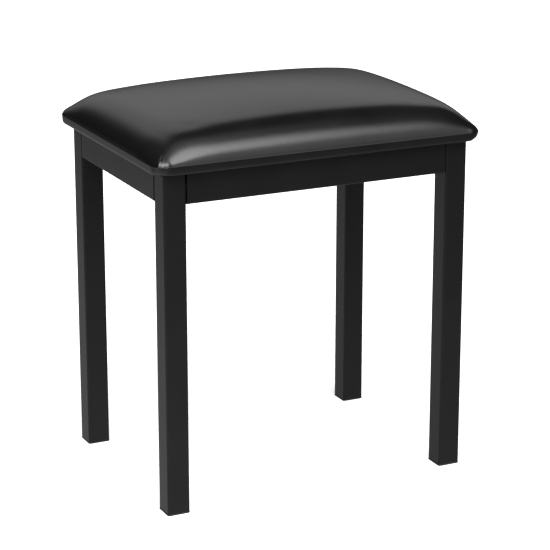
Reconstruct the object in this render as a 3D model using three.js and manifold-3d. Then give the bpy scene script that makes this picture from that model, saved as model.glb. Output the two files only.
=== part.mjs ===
// Upholstered piano bench: four square steel legs, four folded steel apron rails bolted between
// them, and a vinyl-covered foam seat on a plywood board, screwed on from below.
// Millimetres. +Z is up, +X runs along the front of the bench, +Y points to its back.
// The origin is on the floor, under the middle of the bench.
import * as THREE from 'three';
import { mergeVertices } from 'three/addons/utils/BufferGeometryUtils.js';
import Module from 'manifold-3d';

const wasm = await Module();
wasm.setup();

// ---------- driving dimensions ----------
const frameWidth = 420; // over the outer faces of the legs, along X
const frameDepth = 306; // over the outer faces of the legs, along Y
const frameTop = 442; // top of the legs and rails above the floor
const seatOverhang = 15; // seat beyond the legs on every side
const seatTop = 508; // highest point of the cushion
const contactGap = 0.3; // left between pieces that touch

const tube = { side: 30, wall: 1.5, cornerRadius: 2.5 };
const rail = { height: 40, flange: 22, sheet: 1.5, bendRadius: 2.5 };
const footCap = { flange: 2, chamfer: 0.5, proud: 0.4, plugLength: 14, plugWall: 2.2, plugRadius: 1 };
const footRib = { proud: 0.15, height: 1, places: [3, 9] }; // places above the flange
const board = { thickness: 9, cornerRadius: 28 };
const vinyl = { thickness: 1.1, cornerRadius: 18, hem: 34 };
const cushion = { edge: 1.5, crown: 14, roll: 26.4, rollPower: 1.6, cornerBlend: 4 };
const cushionCorner = { pull: 0.9, reach: 40 }; // how far the corners are pulled down, and over what distance
const cushionMesh = { columns: 16, rows: 12, crowding: 1.6 }; // crowding above 1 is finer near the edges
const dustCloth = { thickness: 0.6, inset: 10, cornerRadius: 8 };

const boltInset = 11; // bolt and screw axes behind the outer face of a rail
const bolt = { radius: 2.95, length: 16, headRadius: 5.25, headHeight: 3.3 };
const boltSocket = { acrossFlats: 4, depth: 2 };
const washer = { radius: 7, hole: 3.2, thickness: 1.2 };
const rivetNut = { flangeRadius: 6, flange: 0.5, bodyRadius: 4.5, length: 13, bore: 3.1 };
const rivetCollar = { radius: 5.6, peak: 1.8, length: 3.5 }; // the bulge that grips behind the tube's wall
const seatScrew = { radius: 2, length: 11, headRadius: 4, headHeight: 2.6, recess: 1.4 };
const seatScrewSpacing = 220; // between the two screws of a long rail

const boltHole = 3.4;
const rivetNutHole = rivetNut.bodyRadius + 0.15;
const screwHole = 2.4;
const driverHole = 6; // in a rail's lower flange, so that a screwdriver reaches the seat screw
const roundSides = 20;

// ---------- dimensions that follow ----------
const railGap = rivetNut.flange + 2 * contactGap; // the rail's end bears on the rivet nut's flange
const boltHeight = frameTop - rail.height / 2;
const clothBottom = frameTop + contactGap;
const hemBottom = clothBottom + dustCloth.thickness + contactGap;
const boardBottom = hemBottom + vinyl.thickness + contactGap;
const boardTop = boardBottom + board.thickness;
const cushionEdge = boardTop + cushion.edge; // where the sides end and the rounded top begins
const seatHalfWidth = frameWidth / 2 + seatOverhang;
const seatHalfDepth = frameDepth / 2 + seatOverhang;
const boardInset = vinyl.thickness + contactGap;

// ---------- materials ----------
const material = (color, roughness, metalness = 0) =>
  new THREE.MeshStandardMaterial({ color, roughness, metalness });
const blackPowderCoat = material(0x1c1c1d, 0.5, 0.2);
const blackVinyl = material(0x131314, 0.32);
const blackPlastic = material(0x0e0e0f, 0.6);
const zinc = material(0xb4b6ba, 0.35, 1);
const blackZinc = material(0x2a2a2c, 0.4, 0.9);
const plywood = material(0xb98f5e, 0.75);
const foam = material(0xe6ddc0, 0.95);
const nonWoven = material(0x171717, 0.95);

// ---------- solids ----------
function toSolid(geometry) {
  const bare = geometry.clone();
  bare.deleteAttribute('normal');
  bare.deleteAttribute('uv');
  const merged = mergeVertices(bare, 1e-4);
  return new wasm.Manifold(new wasm.Mesh({
    numProp: 3,
    vertProperties: merged.attributes.position.array,
    triVerts: new Uint32Array(merged.index.array),
  }));
}

function toGeometry(solid) {
  const mesh = solid.getMesh();
  const indexed = new THREE.BufferGeometry();
  indexed.setAttribute('position', new THREE.BufferAttribute(mesh.vertProperties, 3));
  indexed.setIndex(new THREE.BufferAttribute(mesh.triVerts, 1));
  const flat = indexed.toNonIndexed();
  flat.computeVertexNormals();
  return flat;
}

function join(...geometries) {
  return toGeometry(geometries.map(toSolid).reduce((all, next) => all.add(next)));
}

function cut(geometry, ...tools) {
  return toGeometry(tools.map(toSolid).reduce((left, tool) => left.subtract(tool), toSolid(geometry)));
}

function named(name, geometry, finish) {
  const mesh = new THREE.Mesh(geometry, finish);
  mesh.name = name;
  return mesh;
}

// ---------- shapes that several pieces use ----------
function roundedRectangle(width, depth, radius, Outline = THREE.Shape) {
  const x = width / 2 - radius;
  const y = depth / 2 - radius;
  const quarter = Math.PI / 2;
  const outline = new Outline();
  outline.absarc(x, y, radius, 0, quarter);
  outline.absarc(-x, y, radius, quarter, 2 * quarter);
  outline.absarc(-x, -y, radius, 2 * quarter, 3 * quarter);
  outline.absarc(x, -y, radius, 3 * quarter, 4 * quarter);
  outline.closePath();
  return outline;
}

// A plate or bar of that section, standing on z = bottom.
function upright(section, height, bottom = 0, curveSegments = 2) {
  const geometry = new THREE.ExtrudeGeometry(section, { depth: height, bevelEnabled: false, curveSegments });
  return geometry.translate(0, 0, bottom);
}

function squareRing(side, radius, wall) {
  const ring = roundedRectangle(side, side, radius);
  const inner = side - 2 * wall;
  ring.holes.push(roundedRectangle(inner, inner, Math.max(radius - wall, 0.5), THREE.Path));
  return ring;
}

// A round tool or shaft whose axis is Z, from z = bottom up.
function rod(radius, height, bottom = 0, sides = roundSides) {
  return new THREE.CylinderGeometry(radius, radius, height, sides)
    .rotateX(Math.PI / 2)
    .translate(0, 0, bottom + height / 2);
}

// Turns [radius, z] points round the Z axis.
function turned(profile) {
  const points = profile.map(([radius, z]) => new THREE.Vector2(radius, z));
  return new THREE.LatheGeometry(points, roundSides).rotateX(Math.PI / 2);
}

// ---------- legs and feet ----------
// A leg stands on the Z axis, with its two bolted faces towards +X and +Y.
function legGeometry() {
  const bottom = footCap.flange + contactGap;
  const body = upright(squareRing(tube.side, tube.cornerRadius, tube.wall), frameTop - bottom, bottom);
  const offset = boltInset - tube.side / 2;
  const throughX = rod(rivetNutHole, tube.side / 2).rotateY(Math.PI / 2).translate(0, offset, boltHeight);
  const throughY = rod(rivetNutHole, tube.side / 2).rotateX(-Math.PI / 2).translate(offset, 0, boltHeight);
  return cut(body, throughX, throughY);
}

// A plastic plug with a flange that the leg stands on, hollow above, with two ribs that grip the tube.
function footCapGeometry() {
  const { flange, chamfer, proud, plugLength, plugWall, plugRadius } = footCap;
  const flat = tube.side + 2 * (proud - chamfer);
  const sole = new THREE.ExtrudeGeometry(roundedRectangle(flat, flat, tube.cornerRadius), {
    depth: flange - 2 * chamfer,
    bevelThickness: chamfer,
    bevelSize: chamfer,
    bevelSegments: 1,
    curveSegments: 2,
  }).translate(0, 0, chamfer);
  const inside = tube.side - 2 * tube.wall;
  const ribSide = inside - 2 * contactGap;
  const plugSide = ribSide - 2 * footRib.proud;
  const plug = upright(squareRing(plugSide, plugRadius, plugWall), plugLength + chamfer, flange - chamfer, 1);
  const ribSection = squareRing(ribSide, plugRadius, plugWall / 2);
  const ribs = footRib.places.map((place) => upright(ribSection, footRib.height, flange + place, 1));
  return join(sole, plug, ...ribs);
}

// ---------- rails ----------
// A folded channel along X, centred on x = 0. Its outer face is y = 0, it opens towards +Y,
// and its top is z = 0.
function railGeometry(length, screwPlaces) {
  const { height, flange, sheet, bendRadius } = rail;
  const quarter = Math.PI / 2;
  const section = new THREE.Shape();
  section.moveTo(flange, -height);
  section.lineTo(flange, -height + sheet);
  section.absarc(bendRadius, bendRadius - height, bendRadius - sheet, -quarter, -2 * quarter, true);
  section.absarc(bendRadius, -bendRadius, bendRadius - sheet, 2 * quarter, quarter, true);
  section.lineTo(flange, -sheet);
  section.lineTo(flange, 0);
  section.absarc(bendRadius, -bendRadius, bendRadius, quarter, 2 * quarter);
  section.absarc(bendRadius, bendRadius - height, bendRadius, 2 * quarter, 3 * quarter);
  section.closePath();
  const channel = new THREE.ExtrudeGeometry(section, { depth: length, bevelEnabled: false, curveSegments: 2 })
    .rotateX(quarter)
    .rotateZ(quarter)
    .translate(-length / 2, 0, 0);

  const plateHeight = height - sheet;
  const endPlate = (side) => new THREE.BoxGeometry(sheet, flange - 2 * sheet, plateHeight)
    .translate(side * (length - sheet) / 2, flange / 2, -height / 2);
  const endHole = (side) => rod(boltHole, 4 * sheet, -2 * sheet)
    .rotateY(quarter)
    .translate(side * length / 2, boltInset, boltHeight - frameTop);
  const flangeHoles = screwPlaces.flatMap((x) => [
    rod(screwHole, 3 * sheet, -2 * sheet).translate(x, boltInset, 0),
    rod(driverHole, 3 * sheet, -height - sheet).translate(x, boltInset, 0),
  ]);
  return cut(join(channel, endPlate(-1), endPlate(1)), endHole(-1), endHole(1), ...flangeHoles);
}

// ---------- fasteners, each along Z ----------
// The underside of the head is z = 0 and the shank points down.
function boltGeometry() {
  const { radius, length, headRadius, headHeight } = bolt;
  const tip = 0.8;
  const body = turned([
    [0, -length],
    [radius - tip, -length],
    [radius, tip - length],
    [radius, 0],
    [headRadius, 0],
    [headRadius, headHeight * 0.35],
    [headRadius * 0.82, headHeight * 0.8],
    [headRadius * 0.6, headHeight],
    [0, headHeight],
  ]);
  const { acrossFlats, depth } = boltSocket;
  const socket = rod(acrossFlats / Math.sqrt(3), 2 * depth, headHeight - depth, 6);
  return cut(body, socket);
}

// The wider face lies on z = 0, and the thickness is above it.
function washerGeometry() {
  const ring = new THREE.Shape().absarc(0, 0, washer.radius, 0, 2 * Math.PI);
  ring.holes.push(new THREE.Path().absarc(0, 0, washer.hole, 0, 2 * Math.PI));
  return upright(ring, washer.thickness, 0, roundSides / 2);
}

// The flange lies on z = 0. The body points down, with the collar that sets it behind the tube wall.
function rivetNutGeometry() {
  const { flangeRadius, flange, bodyRadius, length, bore } = rivetNut;
  const wallBack = -tube.wall - 2 * contactGap;
  return turned([
    [bore, -length],
    [bodyRadius, -length],
    [bodyRadius, wallBack - rivetCollar.length],
    [rivetCollar.radius, wallBack - rivetCollar.peak],
    [bodyRadius, wallBack],
    [bodyRadius, 0],
    [flangeRadius, 0],
    [flangeRadius, flange],
    [bore, flange],
    [bore, -length],
  ]);
}

// A pan-head screw with its point up: the seat of its head is z = 0.
function seatScrewGeometry() {
  const { radius, length, headRadius, headHeight, recess } = seatScrew;
  const point = 3;
  const body = turned([
    [0, -headHeight],
    [headRadius * 0.7, -headHeight],
    [headRadius, -headHeight * 0.5],
    [headRadius, 0],
    [radius, 0],
    [radius, length - point],
    [0, length],
  ]);
  const slot = (turn) => new THREE.BoxGeometry(headRadius, 1, 2 * recess)
    .rotateZ(turn)
    .translate(0, 0, -headHeight);
  return cut(body, join(slot(0), slot(Math.PI / 2)));
}

// ---------- seat ----------
// The foam's rise above its edge, as a share of the full rise, a distance in from the sides.
function rollShare(distance) {
  const t = distance / cushion.roll;
  return t / Math.pow(1 + Math.pow(t, cushion.rollPower), 1 / cushion.rollPower);
}

// Height of the cushion above its edge: a quick roll up from the sides, a gentle crown over the
// middle, and corners that the cover pulls down.
function domeHeight(x, y, halfWidth, halfDepth, rise) {
  const toSide = Math.max(halfWidth - Math.abs(x), 1e-3);
  const toFront = Math.max(halfDepth - Math.abs(y), 1e-3);
  const blend = cushion.cornerBlend;
  const distance = Math.pow(Math.pow(toSide, -blend) + Math.pow(toFront, -blend), -1 / blend);
  const pull = cushionCorner.pull * Math.exp(-(toSide ** 2 + toFront ** 2) / cushionCorner.reach ** 2);
  const middle = (1 - (x / halfWidth) ** 2) * (1 - (y / halfDepth) ** 2);
  const roll = rollShare(distance) / rollShare(halfDepth);
  return (rise - cushion.crown) * roll * (1 - pull) + cushion.crown * middle;
}

// A block with a rounded outline and a crowned top: a finely divided box whose points are moved.
function domedBlock(inset, bottom, edgeTop, top) {
  const halfWidth = seatHalfWidth - inset;
  const halfDepth = seatHalfDepth - inset;
  const radius = vinyl.cornerRadius - inset;
  const geometry = new THREE.BoxGeometry(2, 2, 2, cushionMesh.columns, cushionMesh.rows, 1);
  const point = new THREE.Vector3();
  const places = geometry.attributes.position;
  const crowd = (u) => Math.sign(u) * (1 - Math.pow(1 - Math.min(Math.abs(u), 1), cushionMesh.crowding));
  for (let i = 0; i < places.count; i++) {
    point.fromBufferAttribute(places, i);
    const u = crowd(point.x);
    const v = crowd(point.y);
    const share = Math.max(Math.abs(u), Math.abs(v), 1e-9);
    const corner = new THREE.Vector2(halfWidth - radius, halfDepth - radius);
    const edge = new THREE.Vector2(Math.abs(u / share) * halfWidth, Math.abs(v / share) * halfDepth);
    const past = edge.clone().sub(corner);
    if (past.x > 0 && past.y > 0) edge.copy(past.setLength(radius).add(corner));
    const x = Math.sign(u) * edge.x * share;
    const y = Math.sign(v) * edge.y * share;
    const onEdge = share > 1 - 1e-6;
    const rise = onEdge ? 0 : domeHeight(x, y, halfWidth, halfDepth, top - edgeTop);
    places.setXYZ(i, x, y, point.z < 0 ? bottom : edgeTop + rise);
  }
  return geometry;
}

function screwTools(radius, bottom, height) {
  return seatScrewPlaces().map(([x, y]) => rod(radius, height, bottom).translate(x, y, 0));
}

function seatBoardGeometry() {
  const width = 2 * (seatHalfWidth - boardInset);
  const depth = 2 * (seatHalfDepth - boardInset);
  const plate = upright(roundedRectangle(width, depth, board.cornerRadius), board.thickness, boardBottom, 4);
  const screwTip = frameTop - rail.sheet - contactGap + seatScrew.length;
  const pilotTop = screwTip + contactGap;
  return cut(plate, ...screwTools(seatScrew.radius + contactGap, frameTop, pilotTop - frameTop));
}

function foamGeometry() {
  const inset = vinyl.thickness + contactGap;
  return domedBlock(inset, boardTop + contactGap, cushionEdge, seatTop - inset);
}

// The cover: a shell over the foam and the board's edge, with a hem turned in under the board.
function seatCoverGeometry() {
  const outside = domedBlock(0, hemBottom, cushionEdge, seatTop);
  const inset = vinyl.thickness;
  const inside = domedBlock(inset, hemBottom + inset, cushionEdge, seatTop - inset);
  const windowWidth = 2 * (seatHalfWidth - vinyl.hem);
  const windowDepth = 2 * (seatHalfDepth - vinyl.hem);
  const windowOutline = roundedRectangle(windowWidth, windowDepth, vinyl.cornerRadius);
  const window = upright(windowOutline, 3 * inset, hemBottom - inset);
  return cut(outside, inside, window, ...screwTools(screwHole, hemBottom - inset, 3 * inset));
}

function dustClothGeometry() {
  const width = 2 * (seatHalfWidth - dustCloth.inset);
  const depth = 2 * (seatHalfDepth - dustCloth.inset);
  const { cornerRadius, thickness } = dustCloth;
  const sheet = upright(roundedRectangle(width, depth, cornerRadius), thickness, clothBottom);
  return cut(sheet, ...screwTools(screwHole, clothBottom - thickness, 3 * thickness));
}

// ---------- assembly ----------
const corners = [
  { name: 'front_left', x: -1, y: -1, turn: 0 },
  { name: 'front_right', x: 1, y: -1, turn: Math.PI / 2 },
  { name: 'rear_right', x: 1, y: 1, turn: Math.PI },
  { name: 'rear_left', x: -1, y: 1, turn: -Math.PI / 2 },
];
const longRail = frameWidth - 2 * (tube.side + railGap);
const shortRail = frameDepth - 2 * (tube.side + railGap);
const sides = [
  { name: 'front', turn: 0, length: longRail, out: frameDepth / 2, screws: [-1, 1] },
  { name: 'right', turn: Math.PI / 2, length: shortRail, out: frameWidth / 2, screws: [0] },
  { name: 'rear', turn: Math.PI, length: longRail, out: frameDepth / 2, screws: [-1, 1] },
  { name: 'left', turn: -Math.PI / 2, length: shortRail, out: frameWidth / 2, screws: [0] },
];
const screwOffsets = (side) => side.screws.map((place) => place * seatScrewSpacing / 2);

// The screws' places, in the bench's own X and Y.
function seatScrewPlaces() {
  return sides.flatMap((side) => screwOffsets(side).map((along) => {
    const place = new THREE.Vector3(along, boltInset - side.out, 0);
    place.applyAxisAngle(new THREE.Vector3(0, 0, 1), side.turn);
    return [place.x, place.y];
  }));
}

function legAssembly(corner) {
  const group = new THREE.Group();
  const reachX = (frameWidth - tube.side) / 2;
  const reachY = (frameDepth - tube.side) / 2;
  group.position.set(corner.x * reachX, corner.y * reachY, 0);
  group.rotation.z = corner.turn;
  group.add(named(`leg_${corner.name}`, legGeometry(), blackPowderCoat));
  group.add(named(`foot_cap_${corner.name}`, footCapGeometry(), blackPlastic));
  return group;
}

// The bolt, washer and rivet nut at one end of a rail; end is -1 or 1 along the rail.
function jointHardware(side, end) {
  const place = end < 0 ? 'left' : 'right';
  const group = new THREE.Group();
  group.position.set(end * (side.length / 2 + railGap), boltInset, boltHeight - frameTop);
  group.rotation.y = -end * Math.PI / 2; // the group's +Z points from the leg to the rail's middle
  const nut = named(`rivet_nut_${side.name}_rail_${place}`, rivetNutGeometry(), zinc);
  const ring = named(`washer_${side.name}_rail_${place}`, washerGeometry(), zinc);
  const screw = named(`bolt_${side.name}_rail_${place}`, boltGeometry(), blackZinc);
  nut.position.z = contactGap;
  ring.position.z = railGap + rail.sheet + contactGap;
  screw.position.z = ring.position.z + washer.thickness + contactGap;
  group.add(nut, ring, screw);
  return group;
}

function railAssembly(side) {
  const group = new THREE.Group();
  group.rotation.z = side.turn;
  const local = new THREE.Group();
  local.position.set(0, -side.out, frameTop);
  local.add(named(`rail_${side.name}`, railGeometry(side.length, screwOffsets(side)), blackPowderCoat));
  local.add(jointHardware(side, -1), jointHardware(side, 1));
  screwOffsets(side).forEach((along, i) => {
    const screw = named(`seat_screw_${side.name}_${i + 1}`, seatScrewGeometry(), blackZinc);
    screw.position.set(along, boltInset, -rail.sheet - contactGap);
    local.add(screw);
  });
  group.add(local);
  return group;
}

const bench = new THREE.Group();
bench.add(...corners.map(legAssembly), ...sides.map(railAssembly));
bench.add(named('seat_board', seatBoardGeometry(), plywood));
bench.add(named('foam_pad', foamGeometry(), foam));
bench.add(named('seat_cover', seatCoverGeometry(), blackVinyl));
bench.add(named('dust_cloth', dustClothGeometry(), nonWoven));

export default bench;
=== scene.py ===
import math
import random

import bmesh
import bpy
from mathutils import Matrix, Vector, noise


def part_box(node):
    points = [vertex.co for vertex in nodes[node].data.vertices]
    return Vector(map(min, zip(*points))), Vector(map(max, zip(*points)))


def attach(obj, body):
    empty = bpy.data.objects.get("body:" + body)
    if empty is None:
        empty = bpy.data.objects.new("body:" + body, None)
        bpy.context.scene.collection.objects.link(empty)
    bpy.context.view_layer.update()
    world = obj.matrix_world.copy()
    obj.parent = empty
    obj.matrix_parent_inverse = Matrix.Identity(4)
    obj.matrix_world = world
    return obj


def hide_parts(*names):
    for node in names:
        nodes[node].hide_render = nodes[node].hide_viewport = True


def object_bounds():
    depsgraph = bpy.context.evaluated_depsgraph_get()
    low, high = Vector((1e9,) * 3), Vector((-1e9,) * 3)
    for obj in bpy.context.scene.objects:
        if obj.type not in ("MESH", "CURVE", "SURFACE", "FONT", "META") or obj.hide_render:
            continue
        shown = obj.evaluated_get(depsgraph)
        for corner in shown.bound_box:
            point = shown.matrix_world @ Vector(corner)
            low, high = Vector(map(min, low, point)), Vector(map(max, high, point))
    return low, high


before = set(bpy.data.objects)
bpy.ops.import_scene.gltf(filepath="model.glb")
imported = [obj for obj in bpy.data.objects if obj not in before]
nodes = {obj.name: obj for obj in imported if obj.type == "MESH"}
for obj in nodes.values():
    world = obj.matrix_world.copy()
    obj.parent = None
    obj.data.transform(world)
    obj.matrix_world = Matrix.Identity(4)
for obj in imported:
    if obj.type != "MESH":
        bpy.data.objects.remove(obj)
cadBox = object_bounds()
mm = 0.001
print("frame loaded:", len(nodes), "nodes")


# ---- where things are, from the frame ----
def middle(low, high):
    return (low + high) / 2


coverLow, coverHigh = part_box("seat_cover")
boardLow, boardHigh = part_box("seat_board")
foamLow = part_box("foam_pad")[0]
clothLow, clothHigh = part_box("dust_cloth")
seatHalf = Vector((coverHigh.x, coverHigh.y))


# ---- shader maths ----
# a socket of a node tree; arithmetic on it adds Math nodes
class Wire:
    def __init__(self, graph, socket):
        self.graph = graph
        self.socket = socket

    def math(self, operation, first, second=0):
        return self.graph.node("ShaderNodeMath", {"operation": operation}, {0: first, 1: second})

    def __add__(self, other):
        return self.math("ADD", self, other)

    def __radd__(self, other):
        return self.math("ADD", other, self)

    def __sub__(self, other):
        return self.math("SUBTRACT", self, other)

    def __rsub__(self, other):
        return self.math("SUBTRACT", other, self)

    def __mul__(self, other):
        return self.math("MULTIPLY", self, other)

    def __rmul__(self, other):
        return self.math("MULTIPLY", other, self)

    def __truediv__(self, other):
        return self.math("DIVIDE", self, other)

    def __rtruediv__(self, other):
        return self.math("DIVIDE", other, self)

    def __pow__(self, other):
        return self.math("POWER", self, other)

    def __rpow__(self, other):
        return self.math("POWER", other, self)

    def larger(self, other):
        return self.math("MAXIMUM", self, other)

    # what is left of the value after whole steps of 1
    def fraction(self):
        return self.math("FRACT", self)

    # 0 where the value is at start, 1 where it is at end, with a soft way between
    def rise(self, start, end):
        inputs = {"Value": self, "From Min": start, "From Max": end}
        return self.graph.node("ShaderNodeMapRange", {"interpolation_type": "SMOOTHSTEP"}, inputs)


# a material's or a world's nodes
class Graph:
    def __init__(self, owner):
        owner.use_nodes = True
        self.tree = owner.node_tree

    # one way to make any node: its type, its settings, then its sockets' values or links
    def node(self, kind, settings=None, inputs=None, output=0):
        made = self.tree.nodes.new(kind)
        for name, value in (settings or {}).items():
            setattr(made, name, value)
        for name, value in (inputs or {}).items():
            self.feed(made.inputs[name], value)
        return Wire(self, made.outputs[output])

    def feed(self, socket, value):
        if isinstance(value, Wire):
            self.tree.links.new(value.socket, socket)
        elif hasattr(socket.default_value, "__len__") and len(value) < len(socket.default_value):
            socket.default_value = (*value, 1)
        else:
            socket.default_value = value

    # a mix of two colours; a Mix node's colour sockets go by number
    def blend(self, share, first, second):
        return self.node("ShaderNodeMix", {"data_type": "RGBA"}, {0: share, 6: first, 7: second}, 2)

    def vector(self, operation, first, second, output=0):
        return self.node("ShaderNodeVectorMath", {"operation": operation}, {0: first, 1: second}, output)

    def split(self, vector):
        made = self.node("ShaderNodeSeparateXYZ", {}, {0: vector}).socket.node
        return [Wire(self, socket) for socket in made.outputs]


# a new material; its patterns are in metres on the piece
class Finish(Graph):
    def __init__(self, name, **surface):
        self.material = bpy.data.materials.new(name)
        super().__init__(self.material)
        self.shader = self.tree.nodes["Principled BSDF"]
        self.place = self.node("ShaderNodeTexCoord", {}, {}, "Object")
        self.set(**surface)

    # values or links for the shader's sockets, by their names with _ for a space
    def set(self, **inputs):
        for name, value in inputs.items():
            self.feed(self.shader.inputs[name.replace("_", " ")], value)

    def noise(self, size, detail=2, roughness=0.5, squeeze=None):
        place = self.place
        if squeeze is not None:
            place = self.node("ShaderNodeMapping", {}, {"Vector": place, "Scale": squeeze})
        inputs = {"Vector": place, "Scale": 1 / size, "Detail": detail, "Roughness": roughness}
        return self.node("ShaderNodeTexNoise", {}, inputs)

    def cells(self, size, feature="F1", **inputs):
        inputs.update({"Vector": self.place, "Scale": 1 / size})
        return self.node("ShaderNodeTexVoronoi", {"feature": feature}, inputs)

    # a raised pattern: its height in metres where the value is 1
    def relief(self, height, value, under=None):
        inputs = {"Height": value, "Distance": height, "Strength": 1}
        if under is not None:
            inputs["Normal"] = under
        return self.node("ShaderNodeBump", {}, inputs)


# ---- finishes ----
# a look's fading is how many times lighter its palest patches are than its colour
def toned(color, times):
    return [part * times for part in color]


vinylLook = {
    "color": (0.0042, 0.0042, 0.0045),
    "fading": 1.35,
    "patchSize": 60 * mm,
    "roughness": 0.21,
    "roughnessSpread": (0.06, 0.10),  # over the patches and over the pores
    "coat": 0.12,
    "coatSpread": 0.06,
    "grainSize": 1.1 * mm,
    "grainSmoothness": 0.35,
    "grainHeight": 0.012 * mm,
    "creaseSize": 9 * mm,
    "creaseHeight": 0.055 * mm,
}


def vinylFinish():
    look = vinylLook
    finish = Finish("black_vinyl", Specular_IOR_Level=0.5, Coat_Roughness=0.12)
    pebbles = finish.cells(look["grainSize"], "SMOOTH_F1", Smoothness=look["grainSmoothness"])
    pores = finish.noise(look["grainSize"] / 3)
    creases = finish.noise(look["creaseSize"], 3, 0.55)
    patches = finish.noise(look["patchSize"])
    grain = (1 - pebbles) * 0.8 + pores * 0.35
    overPatches, overPores = look["roughnessSpread"]
    tone = finish.blend(patches.rise(0.3, 0.7), look["color"], toned(look["color"], look["fading"]))
    folds = finish.relief(look["creaseHeight"], creases)
    finish.set(
        Base_Color=tone,
        Roughness=look["roughness"] + (patches - 0.5) * overPatches + (pores - 0.5) * overPores,
        Coat_Weight=look["coat"] + (creases - 0.5) * look["coatSpread"],
        Normal=finish.relief(look["grainHeight"], grain, folds),
    )
    return finish.material


powderLook = {
    "color": (0.0040, 0.0038, 0.0036),
    "fading": 1.25,
    "cloudSize": 70 * mm,
    "dustColor": (0.03, 0.03, 0.029),
    "dustSize": 0.35 * mm,
    "dustShare": 0.3,
    "roughness": 0.33,
    "roughnessSpread": (0.08, 0.16),  # over the clouds and over the orange peel
    "peelSize": 0.9 * mm,
    "speckSize": 0.55 * mm,
    "reliefHeight": 0.016 * mm,
}


def powderCoatFinish():
    look = powderLook
    finish = Finish("black_powder_coat", Specular_IOR_Level=0.42)
    peel = finish.noise(look["peelSize"], 2, 0.6)
    specks = finish.cells(look["speckSize"])
    cloud = finish.noise(look["cloudSize"], 3)
    dust = finish.noise(look["dustSize"], 1).rise(0.66, 0.82)
    tone = finish.blend(cloud.rise(0.3, 0.7), look["color"], toned(look["color"], look["fading"]))
    overCloud, overPeel = look["roughnessSpread"]
    finish.set(
        Base_Color=finish.blend(dust * look["dustShare"], tone, look["dustColor"]),
        Roughness=look["roughness"] + (cloud - 0.5) * overCloud + (peel - 0.5) * overPeel,
        Normal=finish.relief(look["reliefHeight"], peel * 0.8 + specks * 0.3),
    )
    return finish.material


footLook = {
    "color": (0.006, 0.006, 0.0062),
    "scuffColor": (0.022, 0.022, 0.021),
    "scuffShare": 0.4,
    "scuffSize": 3 * mm,
    "roughness": 0.58,
    "textureSize": 0.5 * mm,
    "textureHeight": 0.02 * mm,
}


def footPlasticFinish():
    look = footLook
    finish = Finish("black_foot_plastic", Specular_IOR_Level=0.4)
    texture = finish.noise(look["textureSize"], 3, 0.7)
    scuffs = finish.noise(look["scuffSize"], 4, 0.7, (1, 1, 0.3)).rise(0.6, 0.75)
    finish.set(
        Base_Color=finish.blend(scuffs * look["scuffShare"], look["color"], look["scuffColor"]),
        Roughness=look["roughness"] + (texture - 0.5) * 0.2 + scuffs * 0.1,
        Normal=finish.relief(look["textureHeight"], texture),
    )
    return finish.material


# colour, metallic share and roughness of each plated metal, then what they share
platedLook = {
    "zinc_plate": ((0.62, 0.63, 0.64), 1.0, 0.34),
    "black_zinc": ((0.075, 0.075, 0.08), 0.9, 0.38),
    "staple_wire": ((0.50, 0.50, 0.50), 1.0, 0.30),
    "streakSize": 0.6 * mm,
    "streakHeight": 0.008 * mm,
    "spotSize": 2.2 * mm,
    "spotTone": 0.72,
    "spotDulling": 0.2,
    "roughnessSpread": (0.22, 0.12),  # over the streaks and over the spots
}


def platedFinish(name):
    look = platedLook
    color, metallic, roughness = look[name]
    finish = Finish(name)
    streaks = finish.noise(look["streakSize"], 3, 0.6)
    spots = finish.noise(look["spotSize"], 4, 0.65)
    overStreaks, overSpots = look["roughnessSpread"]
    finish.set(
        Base_Color=finish.blend(spots.rise(0.35, 0.7), color, toned(color, look["spotTone"])),
        Metallic=metallic - spots.rise(0.62, 0.8) * look["spotDulling"],
        Roughness=roughness + (streaks - 0.5) * overStreaks + (spots - 0.5) * overSpots,
        Normal=finish.relief(look["streakHeight"], streaks),
    )
    return finish.material


plywoodLook = {
    "plies": 5,
    "colors": ((0.56, 0.38, 0.21), (0.43, 0.27, 0.13)),
    "endGrainColor": (0.30, 0.18, 0.085),
    "endGrainShare": 0.55,
    "figureSize": 38 * mm,
    "fibreSize": 1.6 * mm,
    "fibreHeight": 0.05 * mm,
    "roughness": 0.62,
    "roughnessSpread": 0.25,
}


def plywoodFinish():
    look = plywoodLook
    finish = Finish("plywood", Specular_IOR_Level=0.35)
    fibres = finish.noise(look["fibreSize"], 4, 0.6, (0.06, 1, 1))
    figure = finish.noise(look["figureSize"], 3, 0.6, (0.12, 1, 1))
    height = finish.split(finish.place)[2] - boardLow.z
    # every second ply shows its end grain at the board's edge
    pair = height / (2 * (boardHigh.z - boardLow.z) / look["plies"])
    endGrain = (pair.fraction() * 2).rise(0.9, 1.1)
    pale = finish.blend(figure.rise(0.35, 0.65), *look["colors"])
    finish.set(
        Base_Color=finish.blend(endGrain * look["endGrainShare"], pale, look["endGrainColor"]),
        Roughness=look["roughness"] + (fibres - 0.5) * look["roughnessSpread"],
        Normal=finish.relief(look["fibreHeight"], fibres),
    )
    return finish.material


foamLook = {
    "colors": ((0.80, 0.73, 0.53), (0.73, 0.64, 0.43)),
    "patchSize": 25 * mm,
    "cellSize": 1.3 * mm,
    "cellHeight": 0.3 * mm,
    "roughness": 0.95,
}


def foamFinish():
    look = foamLook
    finish = Finish("seat_foam", Specular_IOR_Level=0.2)
    cells = finish.cells(look["cellSize"], "DISTANCE_TO_EDGE")
    patches = finish.noise(look["patchSize"], 3)
    finish.set(
        Base_Color=finish.blend(patches.rise(0.35, 0.65), *look["colors"]),
        Roughness=look["roughness"] - cells * 0.1,
        Normal=finish.relief(look["cellHeight"], cells.rise(0, 0.3)),
    )
    return finish.material


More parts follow.
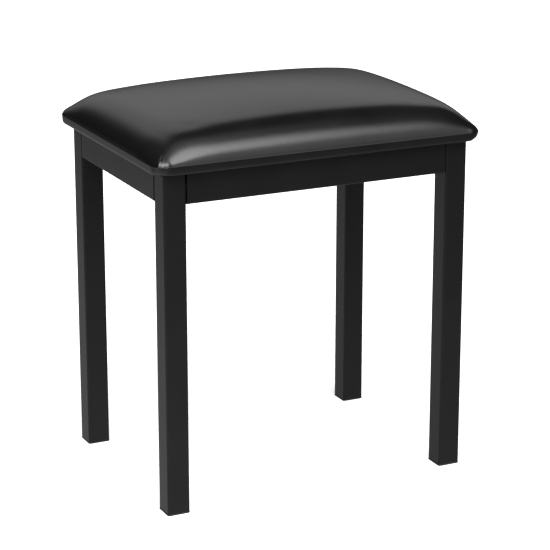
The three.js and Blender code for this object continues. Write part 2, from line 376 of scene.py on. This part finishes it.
clothLook = {
    "color": (0.012, 0.012, 0.0125),
    "fading": 2.4,
    "webSize": 6 * mm,
    "fibreSize": 0.7 * mm,
    "dotPitch": 1.6 * mm,  # of the points where the fibres are bonded
    "dotSize": 0.26,
    "roughness": 0.86,
    "dotGloss": 0.25,
    "reliefHeight": 0.10 * mm,
}


def dustClothFinish():
    look = clothLook
    finish = Finish("dust_cloth", Specular_IOR_Level=0.2, Sheen_Weight=0.15, Sheen_Roughness=0.5)
    x, y, _ = finish.split(finish.place)
    along = ((x + y) / look["dotPitch"]).fraction() - 0.5
    across = ((x - y) / look["dotPitch"]).fraction() - 0.5
    reach = (along * along + across * across) ** 0.5
    dots = reach.rise(look["dotSize"], look["dotSize"] * 0.6)
    fibres = finish.noise(look["fibreSize"], 4, 0.75, (1, 0.25, 1))
    web = finish.noise(look["webSize"], 4, 0.7)
    tone = finish.blend(web.rise(0.35, 0.7), look["color"], toned(look["color"], look["fading"]))
    finish.set(
        Base_Color=tone,
        Roughness=look["roughness"] - dots * look["dotGloss"],
        Normal=finish.relief(look["reliefHeight"], fibres * 0.6 + (1 - dots) * 0.6),
    )
    return finish.material


vinyl = vinylFinish()
powderCoat = powderCoatFinish()
footPlastic = footPlasticFinish()
zincPlate = platedFinish("zinc_plate")
blackZinc = platedFinish("black_zinc")
stapleWire = platedFinish("staple_wire")
plywood = plywoodFinish()
seatFoam = foamFinish()
dustCloth = dustClothFinish()
print("finishes made")


# ---- finishing a new piece ----
def addPiece(name, bm, material, replaced=(), sharpDegrees=35):
    mesh = bpy.data.meshes.new(name)
    bm.to_mesh(mesh)
    bm.free()
    mesh.materials.append(material)
    mesh.shade_smooth()
    if sharpDegrees:
        mesh.set_sharp_from_angle(angle=math.radians(sharpDegrees))
    piece = bpy.data.objects.new(name, mesh)
    bpy.context.scene.collection.objects.link(piece)
    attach(piece, "root")
    if replaced:
        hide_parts(*replaced)
    return piece


def addModifier(piece, kind, **settings):
    modifier = piece.modifiers.new(kind.title(), kind)
    for name, value in settings.items():
        setattr(modifier, name, value)
    return modifier


def applyModifiers(piece):
    graph = bpy.context.evaluated_depsgraph_get()
    mesh = bpy.data.meshes.new_from_object(piece.evaluated_get(graph))
    piece.modifiers.clear()
    piece.data = mesh


# ---- the cushion's form ----
cushionForm = {
    "outerRadius": 18 * mm,  # of the seat's corners, seen from above
    "edgeHeight": 11.9 * mm,  # of the wrapped board's edge, up to the crease
    "creaseInset": 0.2 * mm,  # of the crease, in from the outermost line
    "rise": 49.5 * mm,  # of the middle above the crease
    "crown": 18.2 * mm,  # the part of the rise that is spread over the whole seat
    "roll": 56.5 * mm,  # width of the rounded border
    "rollBend": 3,
    "rollSteepness": 1.5,
    "ridgeWidth": 17 * mm,  # of the turn from one side to the next
    "cornerPull": 0.47,  # how much lower the border is at a corner
    "cornerReach": 38 * mm,
    "columns": 102,
    "rows": 78,
    "crowding": 1.5,  # above 1, the faces are finer near the edges
}
creaseHeight = coverLow.z + cushionForm["edgeHeight"]


def rollShare(distance):
    form = cushionForm
    left = 1 - min(max(distance / form["roll"], 0), 1)
    return (1 - left ** form["rollBend"]) ** (1 / form["rollSteepness"])


# height above the crease at a place in plan, inside a seat of that half size
def domeHeight(x, y, half, rise):
    form = cushionForm
    toSide = max(half.x - abs(x), 0)
    toFront = max(half.y - abs(y), 0)
    # the nearer edge's distance, rounded off where the two are alike
    turn = max(form["ridgeWidth"] - abs(toSide - toFront), 0)
    distance = min(toSide, toFront) - turn**2 / form["ridgeWidth"] / 4
    pull = form["cornerPull"] * math.exp(-(toSide**2 + toFront**2) / form["cornerReach"] ** 2)
    crown = (1 - (x / half.x) ** 2) * (1 - (y / half.y) ** 2)
    return (rise - form["crown"]) * rollShare(distance) * (1 - pull) + form["crown"] * crown


# moves a square grid's corners onto a rounded rectangle, keeping its rows and columns
def roundedPlace(u, v, half, radius):
    crowding = cushionForm["crowding"]
    u, v = (math.copysign(1 - (1 - min(abs(w), 1)) ** crowding, w) for w in (u, v))
    share = max(abs(u), abs(v), 1e-9)
    edge = Vector((abs(u) / share * half.x, abs(v) / share * half.y))
    past = edge - half + Vector((radius, radius))
    if past.x > 0 and past.y > 0:
        edge = past.normalized() * radius + half - Vector((radius, radius))
    return math.copysign(edge.x, u) * share, math.copysign(edge.y, v) * share, share > 1 - 1e-6


# the direction out of the seat's side at a place on its outline
def outward(place, half, radius):
    core = half - Vector((radius, radius))
    nearest = Vector((max(-core.x, min(core.x, place.x)), max(-core.y, min(core.y, place.y))))
    return (Vector((place.x, place.y)) - nearest).normalized()


def domeGrid(half, radius, base, top, columns, rows):
    bm = bmesh.new()
    bmesh.ops.create_grid(bm, x_segments=columns, y_segments=rows, size=1)
    for vert in bm.verts:
        x, y, onEdge = roundedPlace(vert.co.x, vert.co.y, half, radius)
        z = base if onEdge else base + domeHeight(x, y, half, top - base)
        vert.co = (x, y, z)
    return bm


# pulls another ring out of the open edge, so far out from the seat's side and at such a height;
# at the corners the two amounts turn into the second pair
def addRing(bm, edges, half, radius, onSide, atCorner=None):
    made = bmesh.ops.extrude_edge_only(bm, edges=edges)["geom"]
    for vert in (item for item in made if isinstance(item, bmesh.types.BMVert)):
        side = outward(vert.co, half, radius)
        corner = 2 * abs(side.x * side.y)
        change, height = (
            a + (b - a) * corner for a, b in zip(onSide, onSide if atCorner is None else atCorner)
        )
        vert.co = (vert.co.x + side.x * change, vert.co.y + side.y * change, height)
    return [item for item in made if isinstance(item, bmesh.types.BMEdge)]


def openEdges(bm):
    return [edge for edge in bm.edges if edge.is_boundary]


# ---- seat cover ----
coverForm = {
    "thickness": 1.1 * mm,
    # share of the crease's inset, and the drop below the crease on the sides and at the corners
    "edgeProfile": (
        (0.7, 0.45 * mm, 0.45 * mm),
        (1, 1.6 * mm, 1.4 * mm),
        (1, 4 * mm, 2.5 * mm),
    ),
    "bottomRadius": (3.4 * mm, 8.6 * mm),  # on the sides and at the corners
    "bottomSteps": 4,
    "hem": 34 * mm,
    "hemSteps": 3,
    "creaseSharpness": 0.85,
    "creaseFade": 2.4,  # how soon it softens towards a corner
    "cornerRound": (1.0 * mm, 1.8 * mm),  # how far the crease turns in at the corners, and its reach
    "tuckDepth": 3.6 * mm,
    "tuckDegrees": (5, 11),  # half width of the tuck on its folded and its open side
    "tuckPlace": (9 * mm, 5 * mm),  # its deepest part above the crease, and how far that reaches
    "tuckStart": (0.25, 9 * mm),  # share of the corner's radius where it starts, and where it is full
    "slitShare": 0.45,  # depth of the slit under the tuck, as a share of the tuck's
    "slitReach": 7 * mm,
    "puckerHeight": (0.3 * mm, 1.2 * mm),  # on a short side of the seat and on a long one
    "puckerPlace": (33, 1.5 * mm),  # degrees to each side of the tuck, and above the crease
    "puckerReach": (16, 5.5 * mm),  # degrees round the corner, and up and down
    # how strongly each corner is gathered, by the signs of its x and y
    "gathering": {(-1, -1): 1, (1, -1): 0.5, (1, 1): 0.75, (-1, 1): 0.3},
}
settling = {
    "pressure": 6,
    "frames": 20,
    "holdFade": 6 * mm,  # height above the crease at which the cover is free
    "smoothing": 60,
    "cap": 1.2 * mm,
    "cloth": {
        "quality": 8,
        "mass": 0.3,
        "tension_stiffness": 25,
        "compression_stiffness": 25,
        "shear_stiffness": 15,
        "bending_stiffness": 4,
    },
}


def coverBase():
    form = coverForm
    inset = cushionForm["creaseInset"]
    half = seatHalf - Vector((inset, inset))
    radius = cushionForm["outerRadius"] - inset
    top = creaseHeight + cushionForm["rise"]
    bm = domeGrid(half, radius, creaseHeight, top, cushionForm["columns"], cushionForm["rows"])
    sharp = bm.edges.layers.float.new("crease_edge")
    edges = openEdges(bm)
    for edge in edges:
        side = outward((edge.verts[0].co + edge.verts[1].co) / 2, half, radius)
        edge[sharp] = form["creaseSharpness"] * max(0, 1 - abs(side.x * side.y) * form["creaseFade"])
    # the side: out from the crease and down, then round the board's lower edge
    last = 0
    for share, *drops in form["edgeProfile"]:
        amounts = [(inset * (share - last), creaseHeight - drop) for drop in drops]
        edges = addRing(bm, edges, half, radius, *amounts)
        last = share
    sideTurn, cornerTurn = form["bottomRadius"]
    for step in range(form["bottomSteps"] + 1):
        amounts = []
        for turn in (sideTurn, cornerTurn):
            angle, before = (math.pi / 2 * max(i, 0) / form["bottomSteps"] for i in (step, step - 1))
            change = turn * (math.cos(angle) - math.cos(before))
            amounts.append((change, coverLow.z + turn * (1 - math.sin(angle))))
        edges = addRing(bm, edges, seatHalf, cushionForm["outerRadius"], *amounts)
    # the hem under the board
    stretch = (form["hem"] - sideTurn) / form["hemSteps"]
    for _ in range(form["hemSteps"]):
        made = bmesh.ops.extrude_edge_only(bm, edges=edges)["geom"]
        hemInward(made, stretch)
        edges = [item for item in made if isinstance(item, bmesh.types.BMEdge)]
    bmesh.ops.recalc_face_normals(bm, faces=bm.faces)
    return bm


# moves a hem's edge in, as a smaller rectangle, so that its corners stay gathered
def hemInward(made, stretch):
    verts = [item for item in made if isinstance(item, bmesh.types.BMVert)]
    reach = Vector((max(abs(v.co.x) for v in verts), max(abs(v.co.y) for v in verts)))
    for vert in verts:
        vert.co.x *= (reach.x - stretch) / reach.x
        vert.co.y *= (reach.y - stretch) / reach.y


# the gathered vinyl at a corner: one tuck down the edge, and a pucker on each side of it
def gatherCorners(mesh):
    form = coverForm
    core = seatHalf - Vector((cushionForm["outerRadius"],) * 2)
    start, full = form["tuckStart"]
    for vert in mesh.vertices:
        place = vert.co
        past = Vector((abs(place.x) - core.x, abs(place.y) - core.y))
        if past.x <= 0 or past.y <= 0 or past.length < cushionForm["outerRadius"] * start:
            continue
        degrees = math.degrees(math.atan2(past.y, past.x)) - 45
        width = form["tuckDegrees"][0 if degrees < 0 else 1]
        above = place.z - creaseHeight
        deepest, reach = form["tuckPlace"]
        fade = math.exp(-(((above - deepest) / reach) ** 2))
        fade += form["slitShare"] * math.exp(-((above / form["slitReach"] - 1 / 3) ** 2))
        fade *= min(1, past.length / full)
        change = -form["tuckDepth"] * math.exp(-((degrees / width) ** 2)) * fade
        (aside, up), (spread, reach) = form["puckerPlace"], form["puckerReach"]
        for side, height in zip((-1, 1), form["puckerHeight"]):
            across = (degrees - side * aside) / spread
            change += height * math.exp(-(across**2) - ((above - up) / reach) ** 2)
        change *= form["gathering"][math.copysign(1, place.x), math.copysign(1, place.y)]
        turnIn, reach = form["cornerRound"]
        change -= turnIn * math.cos(math.radians(2 * degrees)) * math.exp(-((above / reach) ** 2))
        side = past.normalized()
        place.x += math.copysign(side.x * change, place.x)
        place.y += math.copysign(side.y * change, place.y)


# evens out each point's movement with its neighbours', so that no pinch is left
def smoothed(mesh, moves):
    pairs = [tuple(edge.vertices) for edge in mesh.edges]
    shares = [0] * len(moves)
    for a, b in pairs:
        shares[a] += 1
        shares[b] += 1
    for _ in range(settling["smoothing"]):
        sums = [Vector() for _ in moves]
        for a, b in pairs:
            sums[a] += moves[b]
            sums[b] += moves[a]
        moves = [total / share for total, share in zip(sums, shares)]
    return moves


# lets the cover settle under light pressure, held at its edge; no point moves further than the cap
def inflate(piece):
    rest = [vert.co.copy() for vert in piece.data.vertices]
    held = piece.vertex_groups.new(name="held")
    for vert in piece.data.vertices:
        above = vert.co.z - creaseHeight
        held.add([vert.index], 1 - min(max(above / settling["holdFade"], 0), 1), "REPLACE")
    cloth = addModifier(piece, "CLOTH")
    settings = cloth.settings
    for name, value in settling["cloth"].items():
        setattr(settings, name, value)
    settings.use_pressure = True
    settings.uniform_pressure_force = settling["pressure"]
    settings.vertex_group_mass = "held"
    settings.effector_weights.gravity = 0
    cloth.point_cache.frame_start = 1
    cloth.point_cache.frame_end = settling["frames"]
    scene = bpy.context.scene
    for step in range(1, settling["frames"] + 1):
        scene.frame_set(step)
    applyModifiers(piece)
    scene.frame_set(1)
    moves = smoothed(piece.data, [vert.co - start for vert, start in zip(piece.data.vertices, rest)])
    cap = settling["cap"]
    for vert, start, move in zip(piece.data.vertices, rest, moves):
        vert.co = start + move * cap / (cap + move.length)


cover = addPiece("seat_cover_vinyl", coverBase(), vinyl, ["seat_cover"], sharpDegrees=None)
inflate(cover)
gatherCorners(cover.data)
addModifier(cover, "SOLIDIFY", thickness=coverForm["thickness"], offset=-1)
addModifier(cover, "SUBSURF", levels=1, render_levels=1)
print("cover made")


# ---- foam ----
foamForm = {
    "slack": 3.4 * mm,  # between the foam and the cover's inside
    "edgeRound": 1.2 * mm,
    "columns": 56,
    "rows": 42,
}


def foamBlock():
    inset = cushionForm["creaseInset"] + coverForm["thickness"] + foamForm["slack"]
    half = seatHalf - Vector((inset, inset))
    radius = cushionForm["outerRadius"] - inset
    step = foamForm["edgeRound"]
    top = creaseHeight + cushionForm["rise"] - coverForm["thickness"] - foamForm["slack"]
    bm = domeGrid(half, radius, creaseHeight, top, foamForm["columns"], foamForm["rows"])
    edges = addRing(bm, openEdges(bm), half, radius, (0, foamLow.z + step / 2))
    edges = addRing(bm, edges, half, radius, (-step / 2, foamLow.z))
    bmesh.ops.holes_fill(bm, edges=edges)
    bmesh.ops.recalc_face_normals(bm, faces=bm.faces)
    return bm


foam = addPiece("foam_block", foamBlock(), seatFoam, ["foam_pad"])


# ---- dust cloth and its staples ----
clothForm = {
    "columns": 86,
    "rows": 63,
    "sag": 1.6 * mm,
    "sagInset": 24 * mm,  # in from the cloth's edge, where it starts to sag
    "sagReach": 30 * mm,
    "wrinkle": 0.5 * mm,
    # share of the wrinkle, waves in a metre along x and y, and a seed
    "ripples": ((1, 22, 14, 3), (0.5, 60, 47, 8)),
}
stapleForm = {
    "pitch": 46 * mm,
    "crown": 10 * mm,
    "leg": 5 * mm,
    "wire": (1.2 * mm, 0.45 * mm),
    "bend": 0.5 * mm,
    "bendSteps": 3,
    "inset": 2.6 * mm,  # in from the cloth's edge
    "drift": 3 * mm,  # along its row, to either side
    "tiltDegrees": 9,
}


def clothSheet():
    half = Vector((clothHigh.x, clothHigh.y))
    form = clothForm
    bm = bmesh.new()
    bmesh.ops.create_grid(bm, x_segments=form["columns"], y_segments=form["rows"], size=1)
    for vert in bm.verts:
        x, y = vert.co.x * half.x, vert.co.y * half.y
        inside = min(half.x - abs(x), half.y - abs(y)) - form["sagInset"]
        free = 1 - math.exp(-((max(inside, 0) / form["sagReach"]) ** 2))
        ripple = 0
        for share, alongX, alongY, seed in form["ripples"]:
            ripple += share * noise.noise(Vector((x * alongX, y * alongY, seed)))
        z = clothHigh.z - free * (form["sag"] + ripple * form["wrinkle"])
        vert.co = (x, y, z)
    bmesh.ops.solidify(bm, geom=bm.faces[:], thickness=clothHigh.z - clothLow.z)
    bmesh.ops.recalc_face_normals(bm, faces=bm.faces)
    return bm


cloth = addPiece("dust_cloth_sheet", clothSheet(), dustCloth, ["dust_cloth"])


def stapleRow():
    form = stapleForm
    half = Vector((clothHigh.x - form["inset"], clothHigh.y - form["inset"]))
    draw = random.Random(7)
    bm = bmesh.new()
    for alongX in (True, False):
        length = 2 * (half.x if alongX else half.y)
        count = int(length / form["pitch"])
        for side in (-1, 1):
            for i in range(count):
                along = (i + 0.5) / count * length - length / 2 + draw.uniform(-1, 1) * form["drift"]
                tilt = math.radians(draw.uniform(-1, 1) * form["tiltDegrees"])
                place = (along, side * half.y) if alongX else (side * half.x, along)
                turn = tilt + (0 if alongX else math.pi / 2)
                addStaple(bm, place, turn)
    return bm


# a bent wire: its crown lies under the cloth, and both ends go up into the board
def addStaple(bm, place, turn):
    form = stapleForm
    width, height = form["wire"]
    end = form["crown"] / 2
    outline = [(-end, form["leg"]), (-end, 0), (end, 0), (end, form["leg"])]
    along = Vector((math.cos(turn), math.sin(turn), 0))
    across = Vector((-math.sin(turn), math.cos(turn), 0)) * width / 2
    start = Vector((*place, clothLow.z - height / 2))
    verts = [bm.verts.new(start + along * x + Vector((0, 0, z)) - across) for x, z in outline]
    edges = [bm.edges.new(pair) for pair in zip(verts, verts[1:])]
    made = bmesh.ops.extrude_edge_only(bm, edges=edges)["geom"]
    for vert in (item for item in made if isinstance(item, bmesh.types.BMVert)):
        vert.co += across * 2
    faces = [item for item in made if isinstance(item, bmesh.types.BMFace)]
    folds = [edge for edge in {e for f in faces for e in f.edges} if len(edge.link_faces) == 2]
    bevelled = bmesh.ops.bevel(
        bm,
        geom=folds,
        offset=form["bend"],
        segments=form["bendSteps"],
        affect="EDGES",
        profile=0.5,
        material=-1,
    )["faces"]
    ribbon = list({*[f for f in faces if f.is_valid], *bevelled})
    bmesh.ops.solidify(bm, geom=ribbon, thickness=height)


staples = stapleRow()
bmesh.ops.recalc_face_normals(staples, faces=staples.faces)
addPiece("cloth_staples", staples, stapleWire)
print("cloth and staples made")


# ---- CAD parts that stay ----
finishOf = {
    "leg": powderCoat,
    "rail": powderCoat,
    "foot": footPlastic,
    "bolt": blackZinc,
    "seat_screw": blackZinc,
    "washer": zincPlate,
    "rivet": zincPlate,
    "seat_board": plywood,
}
for name, node in nodes.items():
    for start, material in finishOf.items():
        if name.startswith(start):
            node.data.materials.clear()
            node.data.materials.append(material)


# ---- floor ----
floorForm = {
    "size": 14,
    "paper": 0.8,
    "glow": 0.62,  # of the paper as the camera sees it
    "near": 0.72,  # painted glow that the bench sees in the floor, a painted pool of light: at its centre, and far from it
    "far": 0.04,
    "fade": 1.4,
    "paintedGlowCentre": (-0.75, -0.25, 0),
    "behind": 0.09,  # more painted glow behind the bench
    "behindEdge": (0.2, 1.0),  # the distances back where that starts and is full
}


def makeFloor():
    bm = bmesh.new()
    bmesh.ops.create_grid(bm, x_segments=1, y_segments=1, size=floorForm["size"] / 2)
    mesh = bpy.data.meshes.new("floor")
    bm.to_mesh(mesh)
    bm.free()
    floor = bpy.data.objects.new("floor", mesh)
    bpy.context.scene.collection.objects.link(floor)
    finish = Finish("floor_paper", Specular_IOR_Level=0.0, Roughness=0.9)
    paper = [floorForm["paper"]] * 3
    finish.set(Base_Color=paper, Emission_Color=(1, 1, 1), Emission_Strength=floorForm["glow"])
    # the bench sees a floor with a painted pool of light, brightest near one point and fading away, in
    # place of the even paper the camera sees
    away = finish.vector("DISTANCE", finish.place, floorForm["paintedGlowCentre"], "Value")
    near, far = floorForm["near"], floorForm["far"]
    fade = away.math("EXPONENT", away * (-1 / floorForm["fade"]))
    behind = finish.split(finish.place)[1].rise(*floorForm["behindEdge"]) * floorForm["behind"]
    # painted light: the floor's glow is strongest near its centre, fades with distance, and is a little
    # stronger behind the bench
    paintedGlowStrength = far + fade * (near - far) + behind
    glow = finish.node("ShaderNodeEmission", {}, {"Strength": paintedGlowStrength}, "Emission")
    seen = finish.node("ShaderNodeLightPath", {}, {}, "Is Camera Ray")
    paper = Wire(finish, finish.shader.outputs[0])
    surface = finish.node("ShaderNodeMixShader", {}, {0: seen, 1: glow, 2: paper})
    # clear from below, so that the bench's underside can be looked at
    below = finish.node("ShaderNodeNewGeometry", {}, {}, "Backfacing")
    clear = finish.node("ShaderNodeBsdfTransparent", {}, {}, "BSDF")
    surface = finish.node("ShaderNodeMixShader", {}, {0: below, 1: surface, 2: clear})
    finish.tree.links.new(surface.socket, finish.tree.nodes["Material Output"].inputs["Surface"])
    mesh.materials.append(finish.material)


makeFloor()


# ---- studio light ----
# each pair is where a lamp's light starts and where it is full
studio = {
    "dim": 0.02,
    "key": 6.4,  # the big soft lamp, high in front and to the left
    "keyPlace": (-0.15, 0.9),  # on a ceiling one unit up: right, and to the front
    "keyEdge": (1.0, 0.62),
    "halo": 0.85,  # round the big lamp
    "haloEdge": (1.4, 0.85),
    "haloHeight": (0.88, 0.95),
    "side": 0.9,  # a lower lamp, in front to the left
    "sideFrom": (-0.28, -0.84, 0.46),
    "sideEdge": (0.80, 0.93),  # as cosines of the angle from its middle
    "front": 1.1,  # a wide one in front
    "frontDepth": (-0.1, -0.4),
    "frontTop": (0.9, 0.6),
    "frontFoot": (0.04, 0.24),
    "frontRight": (0.9, 0.3),
    "back": 0.51,  # a wide one behind, with a slanting top; its sides are in x / y
    "backDepth": (0.2, 0.4),
    "backRight": (1.6, 0.9),
    "backLeft": (-0.36, -0.05),
    "backFoot": (-0.1, 0.42),
    "backTop": (0.92, 0.70),
    "backSlant": 0.3,
}


def makeStudio():
    world = bpy.data.worlds.new("studio")
    bpy.context.scene.world = world
    graph = Graph(world)
    background = graph.tree.nodes["Background"]
    direction = graph.node("ShaderNodeTexCoord", {}, {}, "Generated")
    direction = graph.vector("NORMALIZE", direction, (0, 0, 0))
    x, y, z = graph.split(direction)
    up = z.larger(0.05)
    right = x / up - studio["keyPlace"][0]
    ahead = y / up * -1 - studio["keyPlace"][1]
    away = (right * right + ahead * ahead) ** 0.5
    key = away.rise(*studio["keyEdge"])
    halo = away.rise(*studio["haloEdge"]) * z.rise(*studio["haloHeight"])
    front = y.rise(*studio["frontDepth"]) * x.rise(*studio["frontRight"])
    front = front * z.rise(*studio["frontTop"]) * z.rise(*studio["frontFoot"])
    aside = x / y.larger(0.05)
    back = y.rise(*studio["backDepth"]) * z.rise(*studio["backFoot"])
    back = back * aside.rise(*studio["backRight"]) * aside.rise(*studio["backLeft"])
    back = back * (z + aside * studio["backSlant"]).rise(*studio["backTop"])
    side = graph.vector("DOT_PRODUCT", direction, Vector(studio["sideFrom"]).normalized(), "Value")
    side = side.rise(*studio["sideEdge"])
    light = key * key * studio["key"] + halo * studio["halo"] + side * studio["side"]
    light = light + front * studio["front"] + back * studio["back"] + studio["dim"]
    color = graph.node("ShaderNodeVectorMath", {"operation": "SCALE"}, {0: (1, 1, 1), "Scale": light})
    seen = graph.node("ShaderNodeLightPath", {}, {}, "Is Camera Ray")
    graph.feed(background.inputs["Color"], graph.blend(seen, color, (1, 1, 1)))


makeStudio()
bpy.context.scene.view_settings.view_transform = "Standard"


# ---- camera ----
cameraForm = {
    "azimuth": -25.6,
    "elevation": 17.01,
    "distance": 2.91,
    "lens": 144.16,
    "aim": (8.8 * mm, -6.2 * mm, -5.9 * mm),  # from the middle of the bench
}


def makeCamera():
    azimuth, elevation = (math.radians(cameraForm[key]) for key in ("azimuth", "elevation"))
    back = Vector((
        math.sin(azimuth) * math.cos(elevation),
        -math.cos(azimuth) * math.cos(elevation),
        math.sin(elevation),
    ))
    data = bpy.data.cameras.new("camera")
    data.lens = cameraForm["lens"]
    data.sensor_width = 36
    camera = bpy.data.objects.new("camera", data)
    bpy.context.scene.collection.objects.link(camera)
    camera.location = middle(*cadBox) + Vector(cameraForm["aim"]) + back * cameraForm["distance"]
    camera.rotation_euler = (-back).to_track_quat("-Z", "Y").to_euler()
    bpy.context.scene.camera = camera


makeCamera()
print("studio made")
